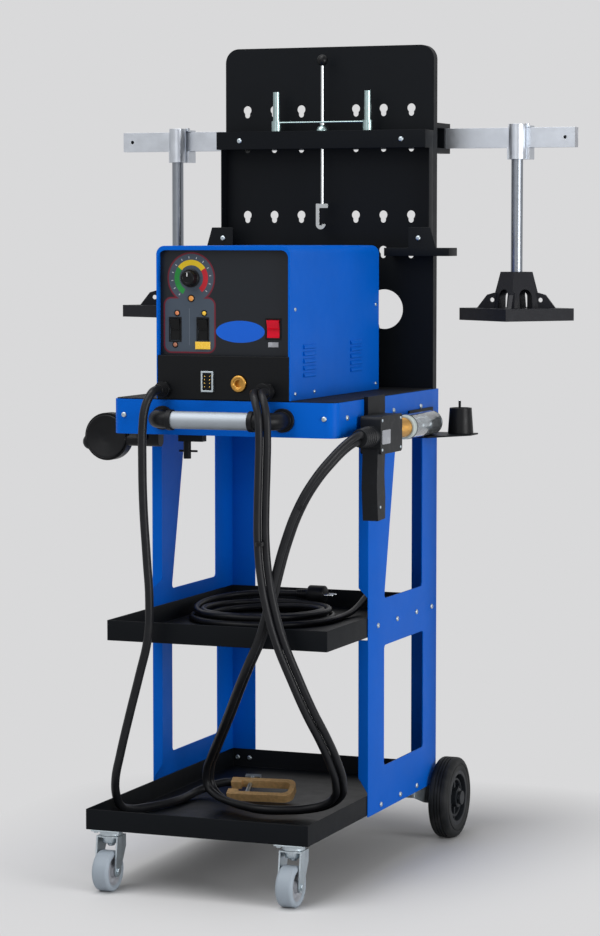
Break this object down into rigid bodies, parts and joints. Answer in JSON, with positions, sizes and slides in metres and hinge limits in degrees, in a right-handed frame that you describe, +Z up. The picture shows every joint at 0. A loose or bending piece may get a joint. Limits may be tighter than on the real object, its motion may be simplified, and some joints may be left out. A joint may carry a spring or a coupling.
{
  "type": "spot welding and dent pulling trolley",
  "caption": "Trolley with open trays that carries a spot welding power source, a keyhole tool board, a pulling beam with sliding legs, a spot gun and cables.",
  "frame": {"origin": "on the floor, below the middle of the bounding box", "axes": "+Z up, -Y is the front with the handle and the welder panel, +X is the side that carries the gun"},
  "size_m": [0.966, 0.8731, 1.567],
  "materials": {
    "blue_paint": "gloss powder coat",
    "black_paint": "satin powder coat",
    "zinc_steel": "bright zinc",
    "axle_steel": "turned",
    "polished_steel": "polished",
    "post_steel": "pale grey-green paint",
    "beam_aluminium": "anodised extrusion",
    "leg_aluminium": "brushed",
    "mat_rubber": "matt",
    "tyre_black": "matt",
    "tread_grey": "matt, thermoplastic",
    "hub_plastic": "moulded",
    "support_plastic": "moulded",
    "foot_plastic": "moulded with a rubber sole",
    "panel_dark": "satin film",
    "moulding_black": "moulded",
    "knob_black": "satin",
    "rocker_black": "gloss",
    "rocker_red": "translucent red, gloss",
    "lamp_amber": "gloss lenses",
    "brass": "turned",
    "gun_plastic": "moulded",
    "clear_nose": "clear tube over steel",
    "tool_iron": "black, satin",
    "core_iron": "varnished laminations",
    "board_green": "circuit board",
    "cable_rubber": "semi-gloss sheath",
    "plug_black": "moulded"
  },
  "bodies": {
    "root": {"lower_tray": "black_paint", "middle_tray": "black_paint", "left_side_panel": "blue_paint", "right_side_panel": "blue_paint", "welder_shelf": "blue_paint", "shelf_mat": "mat_rubber", "frame_screws": "zinc_steel", "handle_tube": "beam_aluminium", "handle_supports": "support_plastic", "rear_axle": "axle_steel", "axle_brackets": "zinc_steel", "caster_plates": "zinc_steel", "backboard": "black_paint", "top_shelf": "black_paint", "side_rests": "black_paint", "hanger_posts": "post_steel", "pull_beam": "beam_aluminium", "beam_brackets": "black_paint", "welder_base": "black_paint", "welder_cover": "blue_paint", "welder_front": "panel_dark", "welder_moulding": "moulding_black", "indicator_lamps": "lamp_amber", "front_connectors": "moulding_black", "brass_socket": "brass", "transformer": "core_iron", "circuit_board": "board_green", "tool_brackets": "black_paint", "tool_cup": "tool_iron", "disc_tool": "tool_iron", "gun_body": "gun_plastic", "gun_collar": "brass", "gun_nose": "clear_nose", "gun_cable": "cable_rubber", "earth_cable": "cable_rubber", "mains_lead": "cable_rubber", "mains_coil": "cable_rubber", "mains_plug": "plug_black", "clamp_frame": "brass"},
    "left_rear_wheel": {"left_rear_tyre": "tyre_black", "left_rear_hub": "hub_plastic"},
    "right_rear_wheel": {"right_rear_tyre": "tyre_black", "right_rear_hub": "hub_plastic"},
    "left_caster_swivel": {"left_caster_fork": "zinc_steel"},
    "right_caster_swivel": {"right_caster_fork": "zinc_steel"},
    "left_caster_roller": {"left_caster_wheel": "tread_grey"},
    "right_caster_roller": {"right_caster_wheel": "tread_grey"},
    "left_slide_block": {"left_slider": "beam_aluminium"},
    "right_slide_block": {"right_slider": "beam_aluminium"},
    "left_leg_tube": {"left_leg": "leg_aluminium"},
    "right_leg_tube": {"right_leg": "leg_aluminium"},
    "left_foot_pad": {"left_foot": "foot_plastic"},
    "right_foot_pad": {"right_foot": "foot_plastic"},
    "puller": {"puller_rod": "polished_steel"},
    "knob": {"current_knob": "knob_black"},
    "left_mode_switch": {"left_rocker": "rocker_black"},
    "right_mode_switch": {"right_rocker": "rocker_black"},
    "power_switch": {"power_rocker": "rocker_red"},
    "trigger": {"gun_trigger": "gun_plastic"},
    "wing_screw": {"clamp_screw": "zinc_steel"}
  },
  "joints": [
    {"name": "left_wheel_roll", "type": "hinge", "parent": "root", "child": "left_rear_wheel", "pos_m": [-0.246, 0.293, 0.08], "axis": [1, 0, 0], "continuous": true},
    {"name": "right_wheel_roll", "type": "hinge", "parent": "root", "child": "right_rear_wheel", "pos_m": [0.246, 0.293, 0.08], "axis": [1, 0, 0], "continuous": true},
    {"name": "left_caster_turn", "type": "hinge", "parent": "root", "child": "left_caster_swivel", "pos_m": [-0.18, -0.383, 0.1], "axis": [0, 0, 1], "continuous": true},
    {"name": "left_caster_roll", "type": "hinge", "parent": "left_caster_swivel", "child": "left_caster_roller", "pos_m": [-0.18, -0.399, 0.0375], "axis": [1, 0, 0], "continuous": true},
    {"name": "right_caster_turn", "type": "hinge", "parent": "root", "child": "right_caster_swivel", "pos_m": [0.18, -0.383, 0.1], "axis": [0, 0, 1], "continuous": true},
    {"name": "right_caster_roll", "type": "hinge", "parent": "right_caster_swivel", "child": "right_caster_roller", "pos_m": [0.18, -0.399, 0.0375], "axis": [1, 0, 0], "continuous": true},
    {"name": "left_block_slide", "type": "slide", "parent": "root", "child": "left_slide_block", "axis": [1, 0, 0], "range_m": [-0.075, 0.015]},
    {"name": "right_block_slide", "type": "slide", "parent": "root", "child": "right_slide_block", "axis": [1, 0, 0], "range_m": [-0.03, 0.06]},
    {"name": "left_leg_height", "type": "slide", "parent": "left_slide_block", "child": "left_leg_tube", "axis": [0, 0, 1], "range_m": [-0.05, 0.06]},
    {"name": "right_leg_height", "type": "slide", "parent": "right_slide_block", "child": "right_leg_tube", "axis": [0, 0, 1], "range_m": [-0.05, 0.06]},
    {"name": "left_foot_turn", "type": "hinge", "parent": "left_leg_tube", "child": "left_foot_pad", "pos_m": [-0.355, 0.3236, 1.1], "axis": [0, 0, 1], "continuous": true},
    {"name": "right_foot_turn", "type": "hinge", "parent": "right_leg_tube", "child": "right_foot_pad", "pos_m": [0.37, 0.3236, 1.1], "axis": [0, 0, 1], "continuous": true},
    {"name": "puller_lift", "type": "slide", "parent": "root", "child": "puller", "axis": [0, 0, 1], "range_m": [0, 0.04]},
    {"name": "current_set", "type": "hinge", "parent": "root", "child": "knob", "pos_m": [-0.068, -0.276, 1.118], "axis": [0, 1, 0], "range_deg": [-135, 135]},
    {"name": "left_mode_rock", "type": "hinge", "parent": "root", "child": "left_mode_switch", "pos_m": [-0.1, -0.265, 1.024], "axis": [1, 0, 0], "range_deg": [-14, 0]},
    {"name": "right_mode_rock", "type": "hinge", "parent": "root", "child": "right_mode_switch", "pos_m": [-0.045, -0.265, 1.024], "axis": [1, 0, 0], "range_deg": [-14, 0]},
    {"name": "power_rock", "type": "hinge", "parent": "root", "child": "power_switch", "pos_m": [0.094, -0.265, 1.027], "axis": [1, 0, 0], "range_deg": [-14, 0]},
    {"name": "trigger_pull", "type": "slide", "parent": "root", "child": "trigger", "axis": [0, -1, 0], "range_m": [0, 0.005], "stiffness_N_per_m": 400},
    {"name": "clamp_open", "type": "slide", "parent": "root", "child": "wing_screw", "axis": [-0.1271, 0.9047, 0.4067], "range_m": [0, 0.02]}
  ]
}
